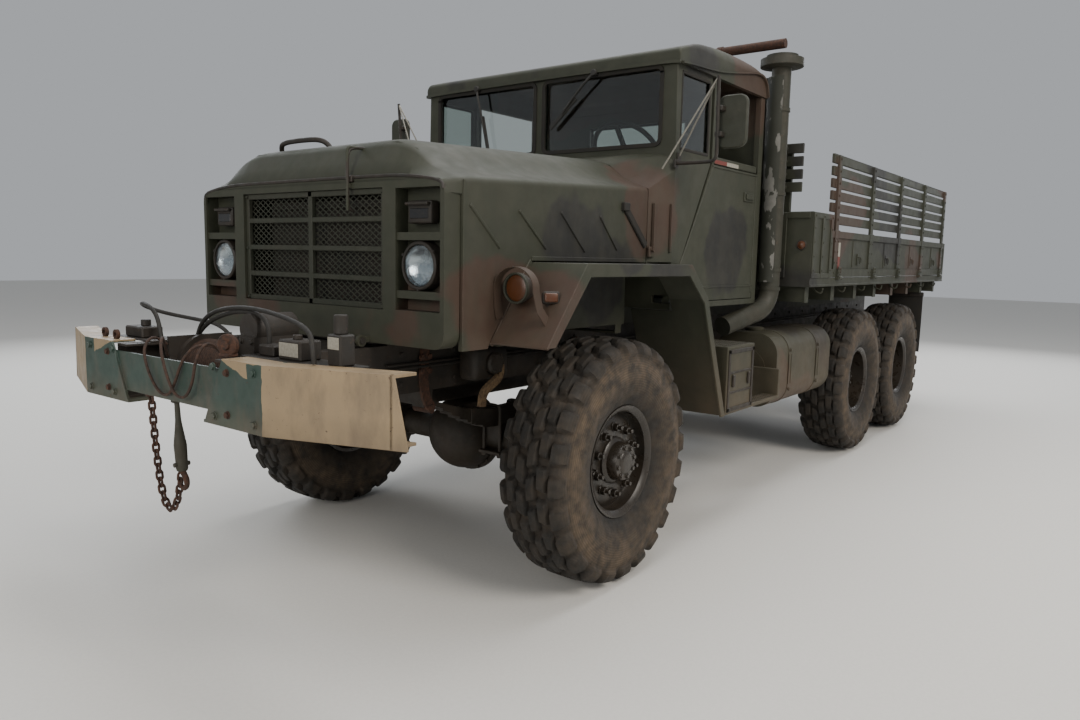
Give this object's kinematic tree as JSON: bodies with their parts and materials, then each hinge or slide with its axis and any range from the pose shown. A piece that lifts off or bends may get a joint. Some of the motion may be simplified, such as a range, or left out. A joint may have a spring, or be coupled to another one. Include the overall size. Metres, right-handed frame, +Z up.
{
  "type": "military cargo truck",
  "caption": "Six-wheel-drive military cargo truck with front winch, hard-top cab, forward-tilting hood, drop-side bed with slatted racks, doors, tailgate and steered front wheels.",
  "frame": {"origin": "on the ground below the middle of the truck's length and width", "axes": "+X forward, +Y to the truck's left, +Z up"},
  "size_m": [8.352, 2.8, 3.112],
  "materials": {
    "camo_paint": "faded matt",
    "bumper_paint": "chipped satin",
    "mesh_paint": "matt",
    "chassis_paint": "dusty matt",
    "rusty_steel": "rusty",
    "stack_paint": "weathered matt",
    "tyre_rubber": "dusty",
    "rim_paint": "semi gloss",
    "window_glass": "clear",
    "lamp_glass": "clear",
    "amber_lens": "gloss",
    "cab_black": "matt",
    "seat_cover": "woven",
    "flap_rubber": "matt"
  },
  "bodies": {
    "chassis": {"frame_rails": "chassis_paint", "bumper": "bumper_paint", "winch": "chassis_paint", "tow_chain": "rusty_steel", "radiator": "chassis_paint", "engine_block": "chassis_paint", "drive_line": "chassis_paint", "front_axle": "chassis_paint", "rear_axles": "chassis_paint", "leaf_springs": "chassis_paint", "fuel_tank": "camo_paint", "step_boxes": "camo_paint", "intake_stack": "stack_paint", "exhaust_stack": "rusty_steel", "cab_tub": "camo_paint", "cab_back": "camo_paint", "windshield_frame": "camo_paint", "cab_roof": "camo_paint", "cab_glass": "window_glass", "dashboard": "cab_black", "seats": "seat_cover", "steering_wheel": "cab_black", "mirrors": "camo_paint", "fenders": "camo_paint", "marker_lamps": "amber_lens", "bed_floor": "camo_paint", "front_rack": "camo_paint", "mud_flaps": "flap_rubber"},
    "knuckle_left": {"knuckle_left": "chassis_paint"},
    "knuckle_right": {"knuckle_right": "chassis_paint"},
    "tie_rod": {"tie_rod": "chassis_paint"},
    "hood": {"hood_shell": "camo_paint", "grille_shell": "camo_paint", "grille_mesh": "mesh_paint", "headlamps": "lamp_glass"},
    "door_left": {"door_left": "camo_paint"},
    "door_right": {"door_right": "camo_paint"},
    "dropside_left": {"dropside_left": "camo_paint", "rack_left": "camo_paint"},
    "dropside_right": {"dropside_right": "camo_paint", "rack_right": "camo_paint"},
    "tailgate": {"tailgate": "camo_paint"},
    "wheel_front_left": {"tyre_front_left": "tyre_rubber", "rim_front_left": "rim_paint"},
    "wheel_front_right": {"tyre_front_right": "tyre_rubber", "rim_front_right": "rim_paint"},
    "wheel_middle_left": {"tyre_middle_left": "tyre_rubber", "rim_middle_left": "rim_paint"},
    "wheel_middle_right": {"tyre_middle_right": "tyre_rubber", "rim_middle_right": "rim_paint"},
    "wheel_rear_left": {"tyre_rear_left": "tyre_rubber", "rim_rear_left": "rim_paint"},
    "wheel_rear_right": {"tyre_rear_right": "tyre_rubber", "rim_rear_right": "rim_paint"}
  },
  "joints": [
    {"name": "steer_left", "type": "hinge", "parent": "chassis", "child": "knuckle_left", "pos_m": [2.466, 0.8, 0.616], "axis": [0, 0, 1], "range_deg": [-28, 28]},
    {"name": "steer_right", "type": "hinge", "parent": "chassis", "child": "knuckle_right", "pos_m": [2.466, -0.8, 0.616], "axis": [0, 0, 1], "range_deg": [-28, 28]},
    {"name": "tie_rod_slide", "type": "slide", "parent": "chassis", "child": "tie_rod", "axis": [0, 1, 0], "range_m": [-0.1027, 0.1027]},
    {"name": "door_left_hinge", "type": "hinge", "parent": "chassis", "child": "door_left", "pos_m": [1.616, 0.992, 1.5], "axis": [0, 0, -1], "range_deg": [0, 70]},
    {"name": "door_right_hinge", "type": "hinge", "parent": "chassis", "child": "door_right", "pos_m": [1.616, -0.992, 1.5], "axis": [0, 0, 1], "range_deg": [0, 70]},
    {"name": "hood_tilt", "type": "hinge", "parent": "chassis", "child": "hood", "pos_m": [3.501, 0, 1.232], "axis": [0, 1, 0], "range_deg": [0, 55]},
    {"name": "dropside_left_hinge", "type": "hinge", "parent": "chassis", "child": "dropside_left", "pos_m": [-2.214, 1.235, 1.507], "axis": [-1, 0, 0], "range_deg": [0, 90]},
    {"name": "dropside_right_hinge", "type": "hinge", "parent": "chassis", "child": "dropside_right", "pos_m": [-2.214, -1.235, 1.507], "axis": [1, 0, 0], "range_deg": [0, 90]},
    {"name": "tailgate_hinge", "type": "hinge", "parent": "chassis", "child": "tailgate", "pos_m": [-4.162, 0, 1.507], "axis": [0, -1, 0], "range_deg": [0, 90]},
    {"name": "spin_front_left", "type": "hinge", "parent": "knuckle_left", "child": "wheel_front_left", "pos_m": [2.466, 1.023, 0.616], "axis": [0, 1, 0], "continuous": true},
    {"name": "spin_front_right", "type": "hinge", "parent": "knuckle_right", "child": "wheel_front_right", "pos_m": [2.466, -1.023, 0.616], "axis": [0, 1, 0], "continuous": true},
    {"name": "spin_middle_left", "type": "hinge", "parent": "chassis", "child": "wheel_middle_left", "pos_m": [-1.395, 1.023, 0.616], "axis": [0, 1, 0], "continuous": true},
    {"name": "spin_middle_right", "type": "hinge", "parent": "chassis", "child": "wheel_middle_right", "pos_m": [-1.395, -1.023, 0.616], "axis": [0, 1, 0], "continuous": true},
    {"name": "spin_rear_left", "type": "hinge", "parent": "chassis", "child": "wheel_rear_left", "pos_m": [-2.767, 1.023, 0.616], "axis": [0, 1, 0], "continuous": true},
    {"name": "spin_rear_right", "type": "hinge", "parent": "chassis", "child": "wheel_rear_right", "pos_m": [-2.767, -1.023, 0.616], "axis": [0, 1, 0], "continuous": true}
  ],
  "couplings": [
    {"joint": "steer_right", "follows": "steer_left", "ratio": 1},
    {"joint": "tie_rod_slide", "follows": "steer_left", "m_per_rad": -0.21}
  ]
}
